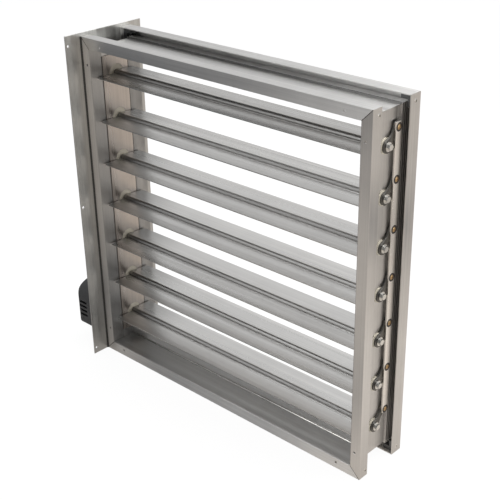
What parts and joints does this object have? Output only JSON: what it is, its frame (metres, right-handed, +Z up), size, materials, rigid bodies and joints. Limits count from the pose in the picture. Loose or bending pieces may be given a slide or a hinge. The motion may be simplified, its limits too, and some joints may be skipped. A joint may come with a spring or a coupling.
{
  "type": "motorized duct damper",
  "caption": "Rectangular duct control damper with parallel airfoil blades on a tie-bar linkage, turned by an actuator on a side plate.",
  "frame": {"origin": "centre of the front flange face, on the axis of the duct", "axes": "+X to the right across the duct as seen from the front, +Y along the duct from the front face to the rear face, +Z up"},
  "size_m": [0.738, 0.1822, 0.6475],
  "materials": {
    "frame_metal": "mill-finish extruded aluminium, satin",
    "plate_metal": "mill-finish sheet, satin",
    "key_metal": "rough cast grey",
    "blade_metal": "mill-finish extruded aluminium, satin, slightly warm",
    "seal_metal": "thin stainless strip, brushed",
    "cream_nylon": "cream moulded nylon",
    "black_rubber": "matt black strip",
    "axle_steel": "plated steel rod",
    "arm_steel": "dark plated steel, pressed",
    "rivet_brass": "yellow-passivated steel rivets and screws",
    "bar_metal": "flat bar, satin",
    "bracket_steel": "zinc plated steel",
    "zinc": "bright zinc",
    "dark_fastener": "dark plated steel",
    "housing_plastic": "charcoal moulded plastic, fine grain",
    "gear_brass": "machined brass",
    "gear_plastic": "white acetal",
    "pointer_plastic": "orange moulded plastic",
    "board": "green board",
    "gland_plastic": "black moulded plastic",
    "button_plastic": "light grey moulded plastic"
  },
  "bodies": {
    "frame": {"top_rail": "frame_metal", "bottom_rail": "frame_metal", "left_post": "frame_metal", "right_post": "frame_metal", "corner_keys": "key_metal", "corner_screws": "dark_fastener", "side_plate": "plate_metal", "plate_rivets": "plate_metal", "left_jamb_seal": "seal_metal", "right_jamb_seal": "seal_metal", "left_bushes": "cream_nylon", "right_bushes": "cream_nylon", "top_blade_stop": "frame_metal", "bottom_blade_stop": "frame_metal", "stop_seals": "black_rubber", "actuator_bracket": "bracket_steel", "bracket_screws": "zinc", "actuator_base": "housing_plastic", "actuator_cover": "housing_plastic", "cover_screws": "zinc", "gear_plate": "bracket_steel", "motor": "bracket_steel", "circuit_board": "board", "cable_gland": "gland_plastic"},
    "blade_row_1": {"blade_1": "blade_metal", "axle_1": "axle_steel", "crank_arm_1": "arm_steel", "crank_fasteners_1": "rivet_brass"},
    "blade_row_2": {"blade_2": "blade_metal", "axle_2": "axle_steel", "crank_arm_2": "arm_steel", "crank_fasteners_2": "rivet_brass"},
    "blade_row_3": {"blade_3": "blade_metal", "axle_3": "axle_steel", "crank_arm_3": "arm_steel", "crank_fasteners_3": "rivet_brass"},
    "blade_row_4": {"blade_4": "blade_metal", "axle_4": "axle_steel", "crank_arm_4": "arm_steel", "crank_fasteners_4": "rivet_brass"},
    "blade_row_5": {"blade_5": "blade_metal", "axle_5": "axle_steel", "crank_arm_5": "arm_steel", "crank_fasteners_5": "rivet_brass"},
    "blade_row_6": {"blade_6": "blade_metal", "axle_6": "axle_steel", "crank_arm_6": "arm_steel", "crank_fasteners_6": "rivet_brass"},
    "blade_row_7": {"blade_7": "blade_metal", "axle_7": "axle_steel", "crank_arm_7": "arm_steel", "crank_fasteners_7": "rivet_brass", "output_gear": "gear_plastic", "shaft_clamp": "bracket_steel", "clamp_bolt": "dark_fastener", "position_pointer": "pointer_plastic"},
    "tie_bar_body": {"tie_bar": "bar_metal"},
    "reduction_gear_body": {"reduction_gear": "gear_plastic"},
    "rotor": {"motor_pinion": "gear_brass"},
    "button": {"release_button": "button_plastic"}
  },
  "joints": [
    {"name": "blade_turn_7", "type": "hinge", "parent": "frame", "child": "blade_row_7", "pos_m": [0, 0.0566, -0.24765], "axis": [1, 0, 0], "range_deg": [-90, 0]},
    {"name": "blade_turn_1", "type": "hinge", "parent": "frame", "child": "blade_row_1", "pos_m": [0, 0.0566, 0.24765], "axis": [1, 0, 0], "range_deg": [-90, 0]},
    {"name": "blade_turn_2", "type": "hinge", "parent": "frame", "child": "blade_row_2", "pos_m": [0, 0.0566, 0.1651], "axis": [1, 0, 0], "range_deg": [-90, 0]},
    {"name": "blade_turn_3", "type": "hinge", "parent": "frame", "child": "blade_row_3", "pos_m": [0, 0.0566, 0.08255], "axis": [1, 0, 0], "range_deg": [-90, 0]},
    {"name": "blade_turn_4", "type": "hinge", "parent": "frame", "child": "blade_row_4", "pos_m": [0, 0.0566, 0], "axis": [1, 0, 0], "range_deg": [-90, 0]},
    {"name": "blade_turn_5", "type": "hinge", "parent": "frame", "child": "blade_row_5", "pos_m": [0, 0.0566, -0.08255], "axis": [1, 0, 0], "range_deg": [-90, 0]},
    {"name": "blade_turn_6", "type": "hinge", "parent": "frame", "child": "blade_row_6", "pos_m": [0, 0.0566, -0.1651], "axis": [1, 0, 0], "range_deg": [-90, 0]},
    {"name": "tie_bar_pivot", "type": "hinge", "parent": "blade_row_7", "child": "tie_bar_body", "pos_m": [0.31, 0.07813, -0.22199], "axis": [1, 0, 0], "range_deg": [0, 90]},
    {"name": "reduction_gear_spin", "type": "hinge", "parent": "frame", "child": "reduction_gear_body", "pos_m": [-0.34, 0.0746, -0.21647], "axis": [1, 0, 0], "range_deg": [0, 450]},
    {"name": "rotor_spin", "type": "hinge", "parent": "frame", "child": "rotor", "pos_m": [-0.36, 0.0506, -0.21647], "axis": [1, 0, 0], "range_deg": [-1800, 0]},
    {"name": "release_button_push", "type": "slide", "parent": "frame", "child": "button", "axis": [1, 0, 0], "range_m": [0, 0.0025], "stiffness_N_per_m": 300}
  ],
  "couplings": [
    {"joint": "blade_turn_1", "follows": "blade_turn_7", "ratio": 1},
    {"joint": "blade_turn_2", "follows": "blade_turn_7", "ratio": 1},
    {"joint": "blade_turn_3", "follows": "blade_turn_7", "ratio": 1},
    {"joint": "blade_turn_4", "follows": "blade_turn_7", "ratio": 1},
    {"joint": "blade_turn_5", "follows": "blade_turn_7", "ratio": 1},
    {"joint": "blade_turn_6", "follows": "blade_turn_7", "ratio": 1},
    {"joint": "tie_bar_pivot", "follows": "blade_turn_7", "ratio": -1},
    {"joint": "reduction_gear_spin", "follows": "blade_turn_7", "ratio": -5},
    {"joint": "rotor_spin", "follows": "blade_turn_7", "ratio": 20}
  ]
}
